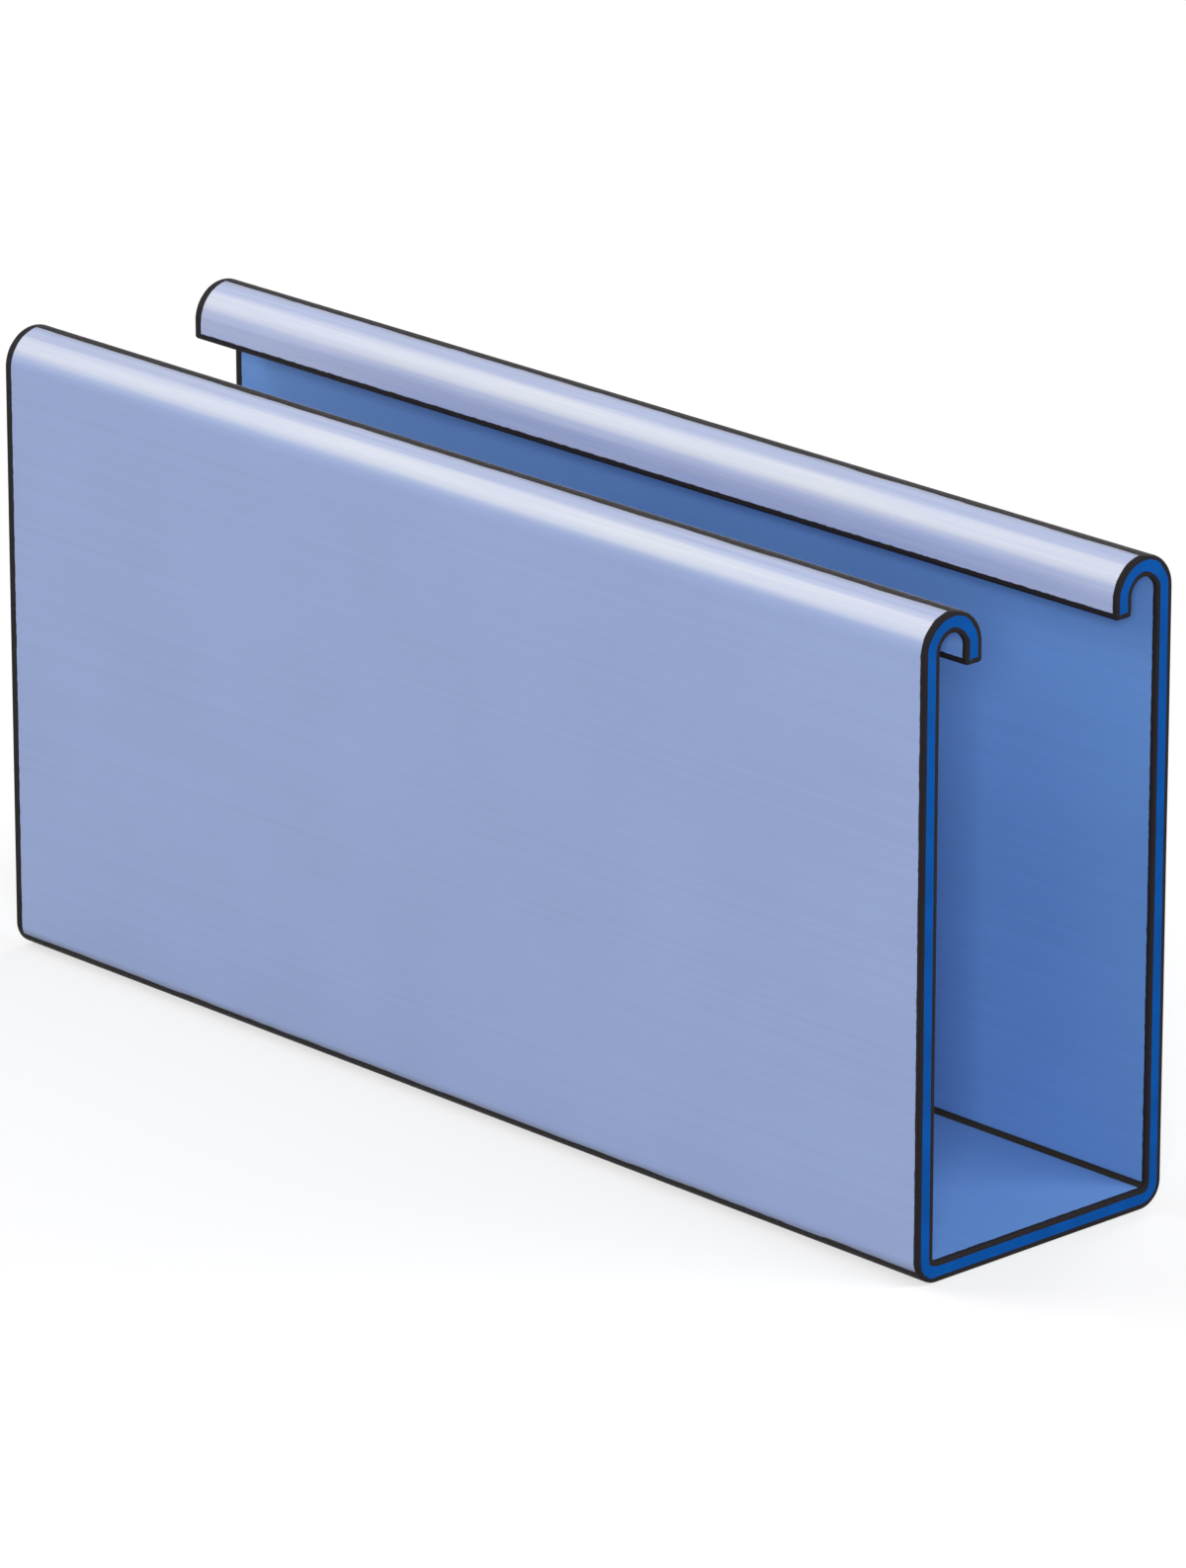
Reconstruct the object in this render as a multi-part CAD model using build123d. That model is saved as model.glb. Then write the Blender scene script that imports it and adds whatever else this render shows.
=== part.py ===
"""A short length of deep strut channel, roll-formed from one steel strip.

The strip is bent into a tall U: a flat web at the back, two plain side walls, and over each wall a
half-round crown that turns the strip back down into the channel as a lip. The slot between the two
lips takes the nuts and clips that fasten things to the channel. Both ends are sawn square.

Frame: X along the channel, Y across it, Z from the web up to the slot. The origin is at the middle
of the web's back. All sizes are in millimetres.
"""

from build123d import *

import os

# The sawn piece
length = 165.1  # end to end
cut_edge_break = 0.4  # chamfer that the file leaves round both sawn ends

# The rolled section
width = 41.275  # across the outsides of the side walls
height = 82.55  # from the back of the web to the tops of the crowns
thickness = 2.667  # of the strip, all the way round
slot_width = 22.225  # between the two lips
lip_straight = 2.3815  # of each lip, from the end of its crown down to the slit edge
web_bend_radius = 0.6  # inside of the two bends between the web and the walls
slit_edge_round = 0.5  # rounding of the strip's two slit edges

# What follows from them
crown_radius = (width - slot_width) / 4  # outside of the half round between wall and lip
crown_y = width / 2 - crown_radius  # centre of that half round
crown_z = height - crown_radius
bend_radius = web_bend_radius + thickness  # outside of the bend at the web
bend_y = width / 2 - bend_radius  # centre of that bend
bend_z = bend_radius
slit_z = crown_z - lip_straight  # the strip's slit edges, at the tips of the lips


def strip_surface(inset):
    """One surface of the strip as an open line from slit edge to slit edge, inset from the outer one.

    Both surfaces share the centres of their arcs, so the strip keeps its thickness in the bends.
    """
    lip_y = slot_width / 2 + inset
    wall_y = width / 2 - inset
    half = [
        Line((lip_y, slit_z), (lip_y, crown_z)),
        CenterArc((crown_y, crown_z), crown_radius - inset, 0, 180),
        Line((wall_y, crown_z), (wall_y, bend_z)),
        CenterArc((bend_y, bend_z), bend_radius - inset, -90, 90),
    ]
    web = Line((-bend_y, inset), (bend_y, inset))
    return [*half, *[mirror(piece, about=Plane.YZ) for piece in half], web]


def slit_edges():
    """The two short lines that close the section at the tips of the lips."""
    right = Line((slot_width / 2, slit_z), (slot_width / 2 + thickness, slit_z))
    return [right, mirror(right, about=Plane.YZ)]


def section():
    """The strip's section, drawn with the channel's Y to the right and its Z up."""
    outline = Curve() + [*strip_surface(0), *strip_surface(thickness), *slit_edges()]
    strip = make_face(outline.edges())
    tips = strip.vertices().filter_by(lambda corner: abs(corner.Y - slit_z) < 1e-6)
    return fillet(tips, slit_edge_round)


def channel():
    """The section run along the channel, with the arrises of both sawn ends broken."""
    bar = extrude(Plane.YZ * section(), length / 2, both=True)
    sawn_ends = bar.faces().filter_by(Axis.X)
    return chamfer(sawn_ends.edges(), cut_edge_break)


os.makedirs("parts", exist_ok=True)
export_step(channel(), "parts/strut_channel.step")
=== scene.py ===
"""The looks of a short sawn length of deep strut channel: coil-coated steel strip, rolled and sawn.

The strip is one closed surface. Its section is a line laid out run by run from the middle of the web to
the slit edge, with the inner surface one thickness behind the outer one. The section is carried along the
channel, over the filed arrises and across the sawn ends to the strip's middle line.
Lengths are in metres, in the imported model's own frame: X along, Y across, Z from the web to the slot.
"""

import math

import bmesh
import bpy
import numpy as np
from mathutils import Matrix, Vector


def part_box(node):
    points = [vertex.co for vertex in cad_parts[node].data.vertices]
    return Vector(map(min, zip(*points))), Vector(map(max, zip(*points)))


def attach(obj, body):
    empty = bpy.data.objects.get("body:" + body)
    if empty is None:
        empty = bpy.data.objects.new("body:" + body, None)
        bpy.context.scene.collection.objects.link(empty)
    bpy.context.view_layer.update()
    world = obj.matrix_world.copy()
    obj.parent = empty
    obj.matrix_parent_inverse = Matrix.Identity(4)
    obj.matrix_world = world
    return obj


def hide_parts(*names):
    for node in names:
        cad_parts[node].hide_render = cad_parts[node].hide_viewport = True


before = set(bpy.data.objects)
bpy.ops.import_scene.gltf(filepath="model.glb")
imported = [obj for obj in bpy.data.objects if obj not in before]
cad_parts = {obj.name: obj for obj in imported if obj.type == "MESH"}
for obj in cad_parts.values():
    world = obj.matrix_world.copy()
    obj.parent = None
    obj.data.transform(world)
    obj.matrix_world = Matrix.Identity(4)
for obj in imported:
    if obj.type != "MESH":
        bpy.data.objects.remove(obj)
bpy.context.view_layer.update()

lowest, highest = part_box("strut_channel")

# The rolled section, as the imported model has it
LENGTH = highest.x - lowest.x
WIDTH = highest.y - lowest.y
HEIGHT = highest.z - lowest.z
THICKNESS = 0.002667
SLOT_WIDTH = 0.022225
LIP_STRAIGHT = 0.0023815
WEB_BEND_RADIUS = 0.0006
SLIT_EDGE_ROUND = 0.0005
ARRIS = 0.0004  # how far the file has broken the sawn edges

CROWN_RADIUS = (WIDTH - SLOT_WIDTH) / 4
BEND_RADIUS = WEB_BEND_RADIUS + THICKNESS
WEB_HALF = WIDTH / 2 - BEND_RADIUS
WALL = HEIGHT - CROWN_RADIUS - BEND_RADIUS
FACE_DEPTH = THICKNESS / 2 - ARRIS  # from an arris to the strip's middle line, on a sawn face

# How finely the surface is divided
BEND_STEPS, CROWN_STEPS = 18, 40  # the pieces that the section's arcs are laid out in
TIP_POINTS = 5  # on each quarter circle of a slit edge
ARRIS_POINTS = 6  # on the quarter circle over an arris
EVEN_STEPS = 36  # the lengths that the channel is divided into
PARTWAY = 0.6  # a sawn face has a ring of points at this share of the way to the strip's middle line
PAINT_EDGES = ((2, -1), (-3, 1))  # the rings where the paint ends, and the way along Y that the file ran

# Distances round the strip, from the middle of the web's back
BEND_STARTS = WEB_HALF
BEND_ENDS = BEND_STARTS + BEND_RADIUS * math.pi / 2
CROWN_STARTS = BEND_ENDS + WALL
CROWN_TOP = CROWN_STARTS + CROWN_RADIUS * math.pi / 2
CROWN_ENDS = CROWN_STARTS + CROWN_RADIUS * math.pi
ROUND_STARTS = CROWN_ENDS + LIP_STRAIGHT - SLIT_EDGE_ROUND
MIDDLE_ENDS = CROWN_ENDS + LIP_STRAIGHT - THICKNESS / 2  # where the strip's middle line stops

# Round a sawn end the file's depth falls by up to a share, in waves, so many to the loop
FILE_VARIES = 0.25
FILE_WAVES = np.arange(5, 60, 6)
FILE_SEEDS = (3, 8)  # at -X and at +X

# Steel that the file has laid bare beside every arris and slit edge
NEAR_MARGIN = 0.00024  # of the coat, at +X
FAR_MARGIN = 0.00090  # of the coat, at -X
SLIT_MARGIN = 0.00038  # of the coat, at the slit edges
FACE_MARGIN = 0.00020  # of the paint on the sawn faces, and twice that where the file ran off them
STROKE_ACROSS, STROKE_DOWN = 0.9, 0.44  # the way it ran: across the strip's section and down
RAGGED, FACE_RAGGED = 0.00006, 0.00003  # how far the coat and the paint fray there
NEAR_COAT_END = LENGTH / 2 - ARRIS - NEAR_MARGIN
FAR_COAT_END = LENGTH / 2 - ARRIS - FAR_MARGIN
SLIT_COAT_END = ROUND_STARTS - SLIT_MARGIN

# Lengthwise bands: the distance round the strip to each one's middle line, and its half width. The bare
# ones end between two of the arcs' pieces.
CROWN_STEP = (CROWN_ENDS - CROWN_STARTS) / CROWN_STEPS
CREST_SHIFT, CREST_HALF = 1.5 * CROWN_STEP, 2.5 * CROWN_STEP  # rubbed bare, to the +Y side of a crown's top
CREST_RUBS = ((-CROWN_TOP - CREST_SHIFT, CREST_HALF), (CROWN_TOP - CREST_SHIFT, CREST_HALF))
BEND_STEP = (BEND_ENDS - BEND_STARTS) / BEND_STEPS
CORNER, CORNER_HALF = BEND_STARTS + 7.5 * BEND_STEP, 5.5 * BEND_STEP  # rubbed bare along the ground, and a dark band that paints the contact shadow under the bend
CORNER_RUBS_AND_SHADOW = ((-CORNER, CORNER_HALF), (CORNER, CORNER_HALF))
CREASE, CREASE_HALF = (BEND_STARTS + BEND_ENDS) / 2, 0.0024  # dark in the bends beside the web, inside: dirt, and painted shade in the crease
CREASE_DIRT_AND_SHADE = ((-CREASE, CREASE_HALF), (CREASE, CREASE_HALF))
BAND_EDGE = 0.0001  # over which a band's edge fades
MOST_BESIDE = 0.6  # the most that a band darkens the coat beside it: chafing, and painted shade beside the crease and contact shadow bands

# The coat's painted highlight: palest this near to a crown's top, going up the wall, and the coat's own
# colour this far away. From the top on to the lip it stays palest, painted light on the lip
PALE_FULL, PALE_ENDS = 0.7 * CROWN_RADIUS, 1.5 * CROWN_RADIUS

# Patterns drawn out along the channel: their scales along it and round the strip, per metre
ROLL_LINES = (6.0, 1400.0, 1.0)
CRAZING = (30.0, 2600.0, 1.0)
SCUFFS = (120.0, 2600.0, 1.0)
SAW_LINES = (1.0, 90.0, 2600.0)  # these run across a sawn face: scales along X, Y and Z

# Even patterns: their scales per metre
CLOUDS, PEEL, BLOTCHES, MILL_GRAIN = 45.0, 800.0, 260.0, 2200.0
COAT_NIBBLES, PAINT_NIBBLES = 900.0, 1100.0

# Heights of the relief
PEEL_HEIGHT, ROLL_LINE_HEIGHT = 0.000010, 0.000004
SAW_LINE_HEIGHT, GRAIN_HEIGHT = 0.000040, 0.000030

WORN_ROUGHNESS = 0.75  # of the coat, where it is worn through

# The finishes' colours, linear
LIGHT_BLUE = (0.252, 0.334, 0.600)
# mixed over the crowns and lips: a painted highlight, with paling of the crazed coat
PALE_BLUE = (0.630, 0.612, 0.668)
# the inner coat, darker than the outer: painted shade of the channel's inside
MID_BLUE = (0.126, 0.268, 0.592)
DEEP_BLUE = (0.000, 0.068, 0.305)
BARE_DARK = (0.016, 0.014, 0.016)
WARM_SHEEN = (1.00, 0.88, 0.30)  # of the coat's gloss

OUTER, INNER, END, BARE = range(4)  # the strip's material slots


class Pen:
    """Lays out a line in Y and Z run by run, with the heading and the distance gone at each point."""

    def __init__(self):
        self.points = np.zeros((1, 2))
        self.headings = np.zeros(1)
        self.gone = np.zeros(1)

    def add(self, points, headings, distances):
        self.points = np.concatenate([self.points, points])
        self.headings = np.concatenate([self.headings, headings])
        self.gone = np.concatenate([self.gone, self.gone[-1] + distances])

    def run(self, length, steps):
        """A straight: the last point plus each distance times the heading's direction."""
        heading = self.headings[-1]
        distances = np.linspace(0, length, steps + 1)[1:]
        ahead = np.array([math.cos(heading), math.sin(heading)])
        points = self.points[-1] + distances[:, None] * ahead
        self.add(points, np.full(len(distances), heading), distances)

    def left(self, radius, turn, steps):
        """An arc to the left: its centre is a radius to the left of the last point, and each new point
        is a radius to the right of that centre as the heading swings round."""
        heading = self.headings[-1]
        headings = heading + np.linspace(0, turn, steps + 1)[1:]
        centre = self.points[-1] + radius * np.array([-math.sin(heading), math.cos(heading)])
        spokes = np.stack([np.sin(headings), -np.cos(headings)], axis=1)
        self.add(centre + radius * spokes, headings, radius * (headings - heading))


def half_line():
    """The outer surface of half the strip, from the middle of the web to the slit edge's rounding."""
    pen = Pen()
    pen.run(WEB_HALF, 5)
    pen.left(BEND_RADIUS, math.pi / 2, BEND_STEPS)
    pen.run(WALL, 15)
    pen.left(CROWN_RADIUS, math.pi, CROWN_STEPS)
    pen.run(SLIT_COAT_END - CROWN_ENDS, 2)
    pen.run(SLIT_MARGIN, 1)
    return pen


def slit_edge(start, side, ahead):
    """The points between the two surfaces at a slit edge, and their outward directions: a quarter
    circle off the outer surface, a flat across the strip and a quarter circle on to the inner one."""
    swing = np.linspace(0, math.pi / 2, TIP_POINTS)
    turns = np.concatenate([swing, swing + math.pi / 2])
    out = np.cos(turns)[:, None] * side + np.sin(turns)[:, None] * ahead
    flat = THICKNESS - 2 * SLIT_EDGE_ROUND
    across = SLIT_EDGE_ROUND + np.repeat([0.0, flat], len(swing))
    points = start - across[:, None] * side + SLIT_EDGE_ROUND * out
    return points[1:-1], out[1:-1]


def section_loop():
    """The closed section: along the outer surface, round one slit edge, back along the inner surface
    and round the other slit edge.

    Returns each point's place, its outward direction and its partner on the strip's middle line, and
    for each side of the loop its distances round the strip at both ends and its material.
    """
    half = half_line()
    flip = [-1, 1]
    line = np.concatenate([half.points[:0:-1] * flip, half.points])
    heading = np.concatenate([-half.headings[:0:-1], half.headings])
    girth = np.concatenate([-half.gone[:0:-1], half.gone])
    outward = np.stack([np.sin(heading), -np.cos(heading)], axis=1)
    back = line - THICKNESS * outward

    up_the_lip = np.maximum(np.abs(girth) - MIDDLE_ENDS, 0)
    middle = line - THICKNESS / 2 * outward
    middle[:, 1] += up_the_lip

    tip, tip_out = slit_edge(line[-1], outward[-1], np.array([0.0, -1.0]))
    tip_middle = np.repeat(middle[-1:], len(tip), axis=0)

    loop = np.concatenate([line, tip, back[::-1], tip[::-1] * flip])
    out = np.concatenate([outward, tip_out, -outward[::-1], tip_out[::-1] * flip])
    partners = np.concatenate([middle, tip_middle, middle[::-1], tip_middle * flip])

    along_line, round_tip = len(line) - 1, len(tip) + 1
    steps = np.linalg.norm(np.roll(loop, -1, axis=0) - loop, axis=1)
    tip_steps = steps[along_line:along_line + round_tip]
    tip_girth = girth[-1] + np.concatenate([[0], np.cumsum(tip_steps)])
    starts = np.concatenate([girth[:-1], tip_girth[:-1], girth[:0:-1], -tip_girth[:0:-1]])
    ends = np.concatenate([girth[1:], tip_girth[1:], girth[-2::-1], -tip_girth[-2::-1]])
    zones = np.repeat([OUTER, BARE, INNER, BARE], [along_line, round_tip, along_line, round_tip])
    middles = (starts + ends) / 2
    for centre, half_width in (*CREST_RUBS, *CORNER_RUBS_AND_SHADOW):
        zones[(zones == OUTER) & (np.abs(middles - centre) < half_width)] = BARE
    zones[np.abs(middles) > SLIT_COAT_END] = BARE
    return loop, out, partners, starts, ends, zones


def stations():
    """The places where the section is set down, from one sawn end to the other.

    At each: its place along the channel, how far it is drawn in from its outline (a quarter circle over
    each arris), its share of the rest of the way to the strip's middle line (on the sawn faces alone),
    and the distance run over the surface from the middle of the channel.
    """
    swing = np.linspace(0, math.pi / 2, ARRIS_POINTS)
    face_shares = np.array([1.0, PARTWAY, FACE_MARGIN / FACE_DEPTH])
    on_face = np.zeros(len(face_shares))
    from_end = np.concatenate([on_face, ARRIS * (1 - np.cos(swing))])
    inset = np.concatenate([on_face + ARRIS, ARRIS * (1 - np.sin(swing))])
    share = np.concatenate([face_shares, np.zeros(len(swing))])

    even = np.linspace(0, LENGTH, EVEN_STEPS + 1)[1:-1]
    middle = np.concatenate([[ARRIS + FAR_MARGIN], even, [LENGTH - ARRIS - NEAR_MARGIN]])
    level = np.zeros(len(middle))
    along = np.concatenate([from_end, middle, LENGTH - from_end[::-1]]) - LENGTH / 2
    insets = np.concatenate([inset, level, inset[::-1]])
    shares = np.concatenate([share, level, share[::-1]])
    return along, insets, shares, along + np.sign(along) * shares * FACE_DEPTH


def uneven_file(count, seed):
    """How deep the file went round a sawn end, up to one: a few slow waves with random phases, which
    meet where the loop closes."""
    random = np.random.default_rng(seed)
    turn = np.linspace(0, 2 * math.pi, count, endpoint=False)
    phases = random.uniform(0, 2 * math.pi, len(FILE_WAVES))
    ripple = np.sin(FILE_WAVES * turn[:, None] + phases).mean(axis=1)
    return 1 - FILE_VARIES * np.clip(0.5 + ripple, 0, 1)


def ran_off(out, across):
    """How much each point's outward direction lies along the file's strokes over a sawn face, from
    none to one: the product of the two, doubled, clipped and eased."""
    along_stroke = np.clip(2 * out @ np.array([across * STROKE_ACROSS, -STROKE_DOWN]), 0, 1)
    return along_stroke ** 2 * (3 - 2 * along_stroke)


def face_materials(zones, run):
    """Each face's material: bare steel over the arrises and their margins, paint on the sawn faces
    inside them, and elsewhere the zone of its side of the loop."""
    middles = (run[:-1] + run[1:])[:, None] / 2
    on_face = np.abs(middles) > LENGTH / 2 + FACE_MARGIN
    beside_it = (middles > NEAR_COAT_END) | (middles < -FAR_COAT_END)
    return np.select([on_face, beside_it], [END, BARE], default=zones[None])


def strip():
    """The whole strip. A point of the surface is the section's point, less its outward direction times
    the inset, moved by the share towards its partner, and set down at the station. The share is up to
    doubled at the paint's edge. Its map holds the distance run along the channel and over its ends,
    and the distance round the strip."""
    loop, out, partners, starts, ends, zones = section_loop()
    along, insets, shares, run = stations()
    count, rings = len(loop), len(along)

    half = rings // 2
    depths = [uneven_file(count, seed) for seed in FILE_SEEDS]
    filed = np.repeat(depths, [half, rings - half], axis=0)
    drawn_in = loop - (insets[:, None] * filed)[:, :, None] * out
    to_middle = np.repeat(shares[:, None], count, axis=1)
    for paint_edge, across in PAINT_EDGES:
        to_middle[paint_edge] *= 1 + ran_off(out, across)
    vertices = np.empty((rings, count, 3))
    vertices[:, :, 0] = along[:, None]
    vertices[:, :, 1:] = drawn_in + to_middle[:, :, None] * (partners - drawn_in)

    ring = np.arange(rings - 1)[:, None] * count
    this = np.arange(count)
    following = np.roll(this, -1)
    quads = np.stack([ring + this, ring + following, ring + count + following, ring + count + this], axis=2)
    quads = quads.reshape(-1, 4)

    mesh = bpy.data.meshes.new("strip")
    mesh.vertices.add(rings * count)
    mesh.vertices.foreach_set("co", vertices.ravel())
    mesh.loops.add(quads.size)
    mesh.loops.foreach_set("vertex_index", quads.ravel())
    mesh.polygons.add(len(quads))
    mesh.polygons.foreach_set("loop_start", np.arange(len(quads)) * 4)
    mesh.polygons.foreach_set("material_index", face_materials(zones, run).ravel())
    mesh.update(calc_edges=True)

    sideways = np.stack([starts, ends, ends, starts], axis=1)
    lengthwise = np.stack([run[:-1], run[:-1], run[1:], run[1:]], axis=1)
    u = np.repeat(lengthwise[:, None], count, axis=1)
    v = np.repeat(sideways[None], rings - 1, axis=0)
    places = np.stack([u, v], axis=3)
    mesh.uv_layers.new(name="along_and_round").data.foreach_set("uv", places.ravel())
    close_middle_line(mesh)
    mesh.shade_smooth()

    piece = bpy.data.objects.new("channel_strip", mesh)
    bpy.context.scene.collection.objects.link(piece)
    return piece


def close_middle_line(mesh):
    """Joins the points that met on the strip's middle line at both sawn ends."""
    joined = bmesh.new()
    joined.from_mesh(mesh)
    bmesh.ops.remove_doubles(joined, verts=joined.verts, dist=1e-7)
    joined.to_mesh(mesh)
    joined.free()


class Nodes:
    """The nodes of a material or a world. Each pattern and each sum is a method that returns a socket."""

    def __init__(self, tree):
        self.tree = tree

    def feed(self, socket, value):
        """Links a socket to a value that is a socket itself, and otherwise sets it."""
        if isinstance(value, bpy.types.NodeSocket):
            self.tree.links.new(value, socket)
        elif isinstance(value, tuple) and len(value) == 3 and len(socket.default_value) == 4:
            socket.default_value = (*value, 1.0)
        else:
            socket.default_value = value

    def new(self, kind, **settings):
        made = self.tree.nodes.new(kind)
        for name, setting in settings.items():
            setattr(made, name, setting)
        return made

    def math(self, operation, *values):
        made = self.new("ShaderNodeMath", operation=operation)
        for socket, value in zip(made.inputs, values):
            self.feed(socket, value)
        return made.outputs[0]

    def place(self):
        """The piece's own coordinates, in metres."""
        return self.new("ShaderNodeTexCoord").outputs["Object"]

    def strip_map(self):
        """The distances along the channel and round the strip, as a vector and one by one."""
        mapped = self.new("ShaderNodeUVMap", uv_map="along_and_round").outputs[0]
        parts = self.new("ShaderNodeSeparateXYZ")
        self.feed(parts.inputs[0], mapped)
        return mapped, parts.outputs[0], parts.outputs[1]

    def stretched(self, vector, *scales):
        """The vector with each of its axes scaled."""
        made = self.new("ShaderNodeVectorMath", operation="MULTIPLY")
        self.feed(made.inputs[0], vector)
        made.inputs[1].default_value = scales
        return made.outputs[0]

    def noise(self, vector, scale=1.0, detail=2.0):
        """Smooth noise about one half."""
        made = self.new("ShaderNodeTexNoise")
        for name, value in (("Vector", vector), ("Scale", scale), ("Detail", detail)):
            self.feed(made.inputs[name], value)
        return made.outputs[0]

    def ramp(self, value, low, high, out_low=0.0, out_high=1.0):
        """A smooth rise from out_low at low to out_high at high, level beyond both."""
        made = self.new("ShaderNodeMapRange", interpolation_type="SMOOTHSTEP")
        for name, part in (("Value", value), ("From Min", low), ("From Max", high),
                           ("To Min", out_low), ("To Max", out_high)):
            self.feed(made.inputs[name], part)
        return made.outputs[0]

    def spread(self, noise, low, high, clip=0.3):
        """A noise's values spread out from low to high; those outside the clip are level."""
        return self.ramp(noise, clip, 1 - clip, low, high)

    def mix(self, share, first, second, blend="MIX"):
        """Two colours mixed by a share of the second."""
        made = self.new("ShaderNodeMix", data_type="RGBA", blend_type=blend)
        sockets = {socket.identifier: socket for socket in made.inputs}
        for name, value in (("Factor_Float", share), ("A_Color", first), ("B_Color", second)):
            self.feed(sockets[name], value)
        return made.outputs[2]

    def bump(self, height, distance, normal=None):
        """A bump whose height runs from nothing to the distance, over another normal if there is one."""
        made = self.new("ShaderNodeBump")
        self.feed(made.inputs["Distance"], distance)
        self.feed(made.inputs["Height"], height)
        if normal is not None:
            self.feed(made.inputs["Normal"], normal)
        return made.outputs[0]

    def seen_or(self, seen, otherwise):
        """One value for camera, glossy and transmission rays, and another for the rays of the lighting."""
        rays = self.new("ShaderNodeLightPath").outputs
        mirrored = self.math("MAXIMUM", rays["Is Glossy Ray"], rays["Is Transmission Ray"])
        eye = self.math("MAXIMUM", rays["Is Camera Ray"], mirrored)
        return self.ramp(eye, 0.0, 1.0, otherwise, seen)


class Finish(Nodes):
    """A Principled material and the nodes that feed it."""

    def __init__(self, name, **sockets):
        self.material = bpy.data.materials.new(name)
        self.material.use_nodes = True
        super().__init__(self.material.node_tree)
        self.done(**sockets)

    def done(self, **sockets):
        """Feeds the shader's sockets by name and returns the material."""
        shader = self.tree.nodes["Principled BSDF"]
        for name, value in sockets.items():
            self.feed(shader.inputs[name.replace("_", " ")], value)
        return self.material


def pale_highlight_and_crazing(finish, mapped, from_middle, highlight_and_crazed_share):
    """How pale the coat is from the crown to the slit edge: a painted highlight on the crown, painted light
    on the lip, and paling where rolling stretched and finely crazed the coat. It is the given share, more
    and less in streaks."""
    streaks = finish.noise(finish.stretched(mapped, *CRAZING))
    to_top = finish.math("SUBTRACT", CROWN_TOP, from_middle)
    bent = finish.ramp(to_top, PALE_FULL, PALE_ENDS, 1.0, 0.0)
    return finish.math("MULTIPLY", bent, finish.spread(streaks, 0.7 * highlight_and_crazed_share, 1.3 * highlight_and_crazed_share))


def bare_margin(finish, place, along, from_middle):
    """Where the file went beyond the arrises and the slit edges: one up to a ragged margin from them."""
    gaps = (
        finish.math("SUBTRACT", NEAR_COAT_END, along),
        finish.math("ADD", FAR_COAT_END, along),
        finish.math("SUBTRACT", SLIT_COAT_END, from_middle),
    )
    nibbled = finish.noise(place, COAT_NIBBLES, detail=3.0)
    nibbles = finish.spread(nibbled, -RAGGED, RAGGED, clip=0.25)
    nearest = finish.math("MINIMUM", finish.math("MINIMUM", gaps[0], gaps[1]), gaps[2])
    return finish.ramp(finish.math("ADD", nearest, nibbles), 0.0, RAGGED, 1.0, 0.0)


def lengthwise_bands(finish, mapped, round_strip, fray, fade_beside, bands):
    """Where the bands are: one up to a half width from a middle line, with edges that fray in streaks, and
    a smaller share beyond that, fading out over the given distance. The bands given paint rubs, dirt, and
    painted shade."""
    streaks = finish.noise(finish.stretched(mapped, *SCUFFS), detail=4.0)
    scuffs = finish.spread(streaks, -fray, fray)
    mask = 0.0
    for centre, half_width in bands:
        off = finish.math("ABSOLUTE", finish.math("SUBTRACT", round_strip, centre))
        edge = half_width + fray / 2
        inside = finish.ramp(finish.math("ADD", off, scuffs), edge, edge + BAND_EDGE, 1.0, 0.0)
        fading = finish.ramp(off, edge, edge + fade_beside, MOST_BESIDE, 0.0)
        beside = finish.math("MULTIPLY", fading, streaks)
        mask = finish.math("MAXIMUM", mask, finish.math("MAXIMUM", inside, beside))
    return mask


def coat(name, colour, gloss, roughness, highlight_and_crazed_share, fray, fade_beside, bands):
    """Coil coating: its colour with faint lines from the rolls, paler over the crowns and lips as a painted
    highlight with crazing, a slight orange peel, and dark bands and margins where it is worn through or
    dirty, which also paint the shade in the inner creases and the contact shadow along the bottom bends.

    The gloss and the roughness are the shader's. The highlight and crazed share is the pale share over the
    crowns. Fray and fade beside are how far the bands' edges wander, and how far beyond them the darkening
    fades out.
    """
    finish = Finish(name, Specular_IOR_Level=gloss, Specular_Tint=WARM_SHEEN)
    place = finish.place()
    mapped, along, round_strip = finish.strip_map()
    from_middle = finish.math("ABSOLUTE", round_strip)

    roll_lines = finish.noise(finish.stretched(mapped, *ROLL_LINES), detail=3.0)
    clouds = finish.noise(place, CLOUDS, detail=3.0)
    lined = finish.spread(roll_lines, -0.02, 0.02)
    shade = finish.math("ADD", lined, finish.spread(clouds, 0.98, 1.02))
    base = finish.mix(pale_highlight_and_crazing(finish, mapped, from_middle, highlight_and_crazed_share), colour, PALE_BLUE)
    toned = finish.mix(1.0, base, shade, "MULTIPLY")
    worn_and_shaded = finish.math(
        "MAXIMUM",
        bare_margin(finish, place, along, from_middle),
        lengthwise_bands(finish, mapped, round_strip, fray, fade_beside, bands),
    )
    shown = finish.mix(worn_and_shaded, toned, BARE_DARK)

    lines_relief = finish.bump(roll_lines, ROLL_LINE_HEIGHT)
    normal = finish.bump(finish.noise(place, PEEL), PEEL_HEIGHT, lines_relief)
    glossy = finish.spread(clouds, roughness - 0.02, roughness + 0.02, clip=0.2)
    rough = finish.ramp(worn_and_shaded, 0.0, 1.0, glossy, WORN_ROUGHNESS)
    return finish.done(Base_Color=shown, Roughness=rough, Normal=normal)


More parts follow.
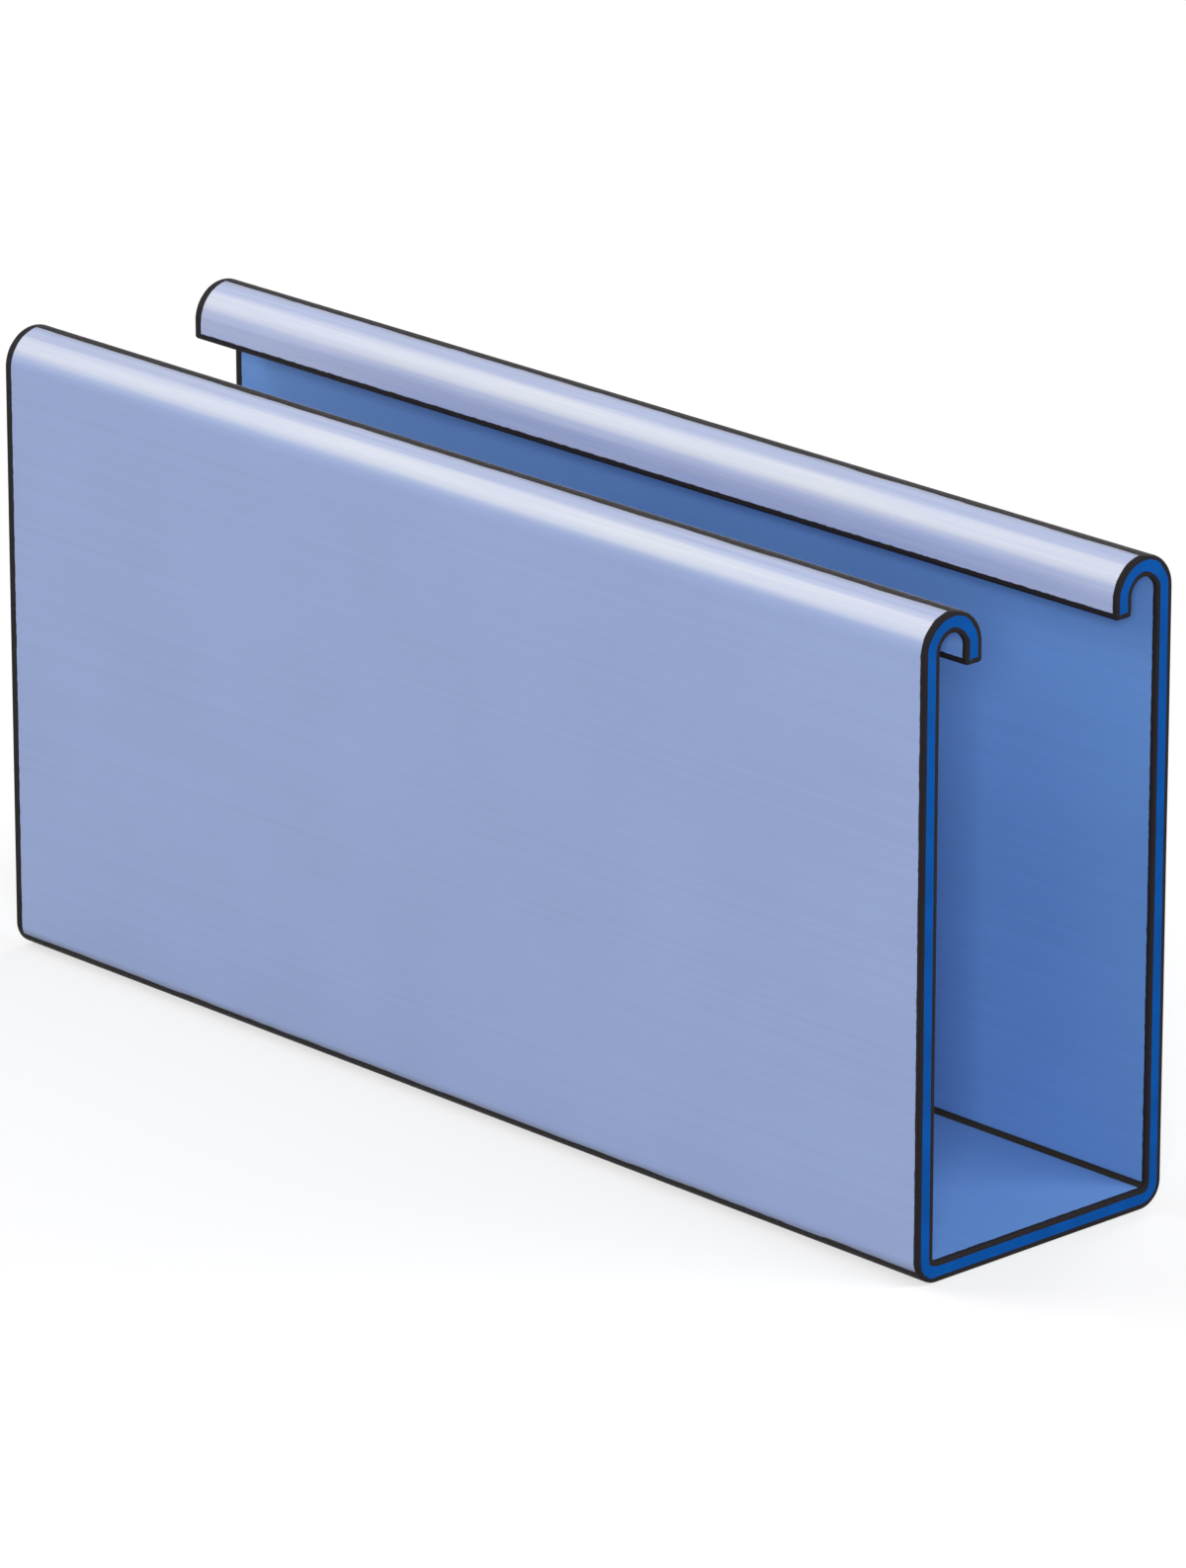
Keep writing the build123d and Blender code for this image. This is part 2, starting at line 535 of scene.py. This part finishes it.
def end_paint():
    """Deep blue paint brushed over the sawn face, whose saw lines show through."""
    finish = Finish("end_paint", Specular_IOR_Level=0.06)
    place = finish.place()
    _, along, _ = finish.strip_map()
    saw = finish.noise(finish.stretched(place, *SAW_LINES))
    blotch = finish.noise(place, BLOTCHES)
    toned = finish.mix(1.0, DEEP_BLUE, finish.spread(blotch, 0.9, 1.1, clip=0.25), "MULTIPLY")

    nibbled = finish.noise(place, PAINT_NIBBLES, detail=3.0)
    nibbles = finish.spread(nibbled, -FACE_RAGGED, FACE_RAGGED, clip=0.25)
    over_face = finish.math("SUBTRACT", finish.math("ABSOLUTE", along), LENGTH / 2 + FACE_MARGIN)
    margin = finish.ramp(finish.math("ADD", over_face, nibbles), 0.0, FACE_RAGGED, 1.0, 0.0)
    shown = finish.mix(margin, toned, BARE_DARK)

    rough = finish.spread(saw, 0.45, 0.60)
    return finish.done(Base_Color=shown, Roughness=rough, Normal=finish.bump(saw, SAW_LINE_HEIGHT))


def bare_edge():
    """Bare steel under dark mill scale, where the strip was slit, filed and rubbed."""
    finish = Finish("bare_edge", Base_Color=BARE_DARK, Specular_IOR_Level=0.05)
    grain = finish.noise(finish.place(), MILL_GRAIN, detail=3.0)
    rough = finish.spread(grain, 0.50, 0.70)
    return finish.done(Roughness=rough, Normal=finish.bump(grain, GRAIN_HEIGHT))


channel = strip()
for material in (
    coat("outer_coat", LIGHT_BLUE, gloss=0.6, roughness=0.31, highlight_and_crazed_share=0.27,
         fray=0.00012, fade_beside=0.0010, bands=(*CREST_RUBS, *CORNER_RUBS_AND_SHADOW)),
    # its darker blue paints the shade inside the channel
    coat("inner_coat", MID_BLUE, gloss=0.25, roughness=0.55, highlight_and_crazed_share=0.04,
         fray=0.00010, fade_beside=0.0004, bands=CREASE_DIRT_AND_SHADE),
    end_paint(),
    bare_edge(),
):
    channel.data.materials.append(material)
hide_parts("strut_channel")
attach(channel, "root")

# Floor, world, lamps and camera
FLOOR_SIZE = 12.0
FLOOR_DROP = 0.00005  # keeps the floor clear of the web's back
FLOOR_SEEN = 0.90  # the floor's colour in the picture and in reflections
FLOOR_BOUNCE = 0.40  # and in the light that it throws on the channel
GLOW_NEAR = 0.60  # the part of the floor's white, round the channel, that no shadow dims
GLOW_STARTS, GLOW_ENDS = 0.16, 0.60  # the distances from the channel's middle over which it rises to one
AMBIENT = 0.29  # the world's light on the channel
LAMP_DISTANCE = 1.6
FACING_LAMPS = (  # each one's name, azimuth, elevation, width, height and power
    ("front_box", 47, 19, 0.40, 0.30, 14.8),  # in line with the view
    ("back_box", 198, 15, 0.60, 0.60, 11.0),  # on the wall at +Y
    ("far_box", 292, 12, 0.60, 0.60, 4.0),  # on the far end, and in through it
)
CROWN_LAMP_AIM = 1.1  # beyond the channel's middle, along it
CROWN_LAMP_SIDE, CROWN_LAMP_RISE = 0.63, 0.96  # from that aim to the lamp
CROWN_LAMP_SIZE, CROWN_LAMP_POWER = (0.50, 1.34), 18.5
BACK_AZIMUTH, BACK_ELEVATION = 46.95, 18.63  # from the target to the camera, in degrees
CAMERA_TARGET = Vector((0.00468, 0.0, 0.03876))
CAMERA_DISTANCE = 1.178
CAMERA_LENS = 219.5


def away(azimuth, elevation):
    """The direction of that azimuth, 0 at -Y and 90 at +X, and that elevation, in degrees."""
    turn, rise = math.radians(azimuth), math.radians(elevation)
    return Vector((math.sin(turn) * math.cos(rise), -math.cos(turn) * math.cos(rise), math.sin(rise)))


def pale_floor():
    """A wide matt floor, white as it is seen. A part of that white is a glow that no shadow dims: some
    of it round the channel, and all of it further off."""
    reach = FLOOR_SIZE / 2
    corners = [(-reach, -reach), (reach, -reach), (reach, reach), (-reach, reach)]
    mesh = bpy.data.meshes.new("floor")
    mesh.from_pydata([(x, y, -FLOOR_DROP) for x, y in corners], [], [(0, 1, 2, 3)])

    finish = Finish("floor_white", Roughness=1.0, Specular_IOR_Level=0.0, Emission_Color=(1.0, 1.0, 1.0))
    distance = finish.new("ShaderNodeVectorMath", operation="LENGTH")
    finish.feed(distance.inputs[0], finish.place())
    rise = finish.ramp(distance.outputs["Value"], GLOW_STARTS, GLOW_ENDS, GLOW_NEAR, 1.0)
    glow = finish.math("MULTIPLY", rise, finish.seen_or(1.0, 0.0))
    colour = finish.seen_or(FLOOR_SEEN, FLOOR_BOUNCE)
    lit = finish.math("MULTIPLY", colour, finish.math("SUBTRACT", 1.0, glow))
    mesh.materials.append(finish.done(Base_Color=lit, Emission_Strength=glow))

    floor = bpy.data.objects.new("floor", mesh)
    bpy.context.scene.collection.objects.link(floor)


def white_world():
    """A world that shows white and lights the channel softly."""
    world = bpy.data.worlds.new("studio")
    bpy.context.scene.world = world
    world.use_nodes = True
    nodes = Nodes(world.node_tree)
    background = world.node_tree.nodes["Background"]
    nodes.feed(background.inputs["Color"], (1.0, 1.0, 1.0))
    nodes.feed(background.inputs["Strength"], nodes.seen_or(1.0, AMBIENT))


def softbox(name, place, aim, wide, high, power):
    """A rectangular lamp at a place, facing its aim, with its width level."""
    lamp = bpy.data.lights.new(name, "AREA")
    lamp.shape = "RECTANGLE"
    lamp.size = wide
    lamp.size_y = high
    lamp.energy = power
    made = bpy.data.objects.new(name, lamp)
    bpy.context.scene.collection.objects.link(made)
    made.location = place
    made.rotation_euler = (place - aim).to_track_quat("Z", "Y").to_euler()


def lamps():
    """One softbox above and beyond each end, whose reflection is the pale band along the crowns, seen
    from the other end and side, and the three that face the channel's middle."""
    for side, name in ((-1, "left"), (1, "right")):
        aim = Vector((side * CROWN_LAMP_AIM, 0, HEIGHT))
        place = aim + Vector((0, side * CROWN_LAMP_SIDE, CROWN_LAMP_RISE))
        softbox("crown_box_" + name, place, aim, *CROWN_LAMP_SIZE, CROWN_LAMP_POWER)
    middle = Vector((0, 0, HEIGHT / 2))
    for name, azimuth, elevation, wide, high, power in FACING_LAMPS:
        place = middle + away(azimuth, elevation) * LAMP_DISTANCE
        softbox(name, place, middle, wide, high, power)


def camera():
    """The camera at the drawing's viewing angle."""
    lens = bpy.data.cameras.new("camera")
    lens.lens = CAMERA_LENS
    lens.sensor_width = 36.0
    made = bpy.data.objects.new("camera", lens)
    bpy.context.scene.collection.objects.link(made)
    out = away(BACK_AZIMUTH, BACK_ELEVATION)
    made.location = CAMERA_TARGET + out * CAMERA_DISTANCE
    made.rotation_euler = out.to_track_quat("Z", "Y").to_euler()
    bpy.context.scene.camera = made


pale_floor()
white_world()
lamps()
camera()
bpy.context.scene.view_settings.view_transform = "Standard"
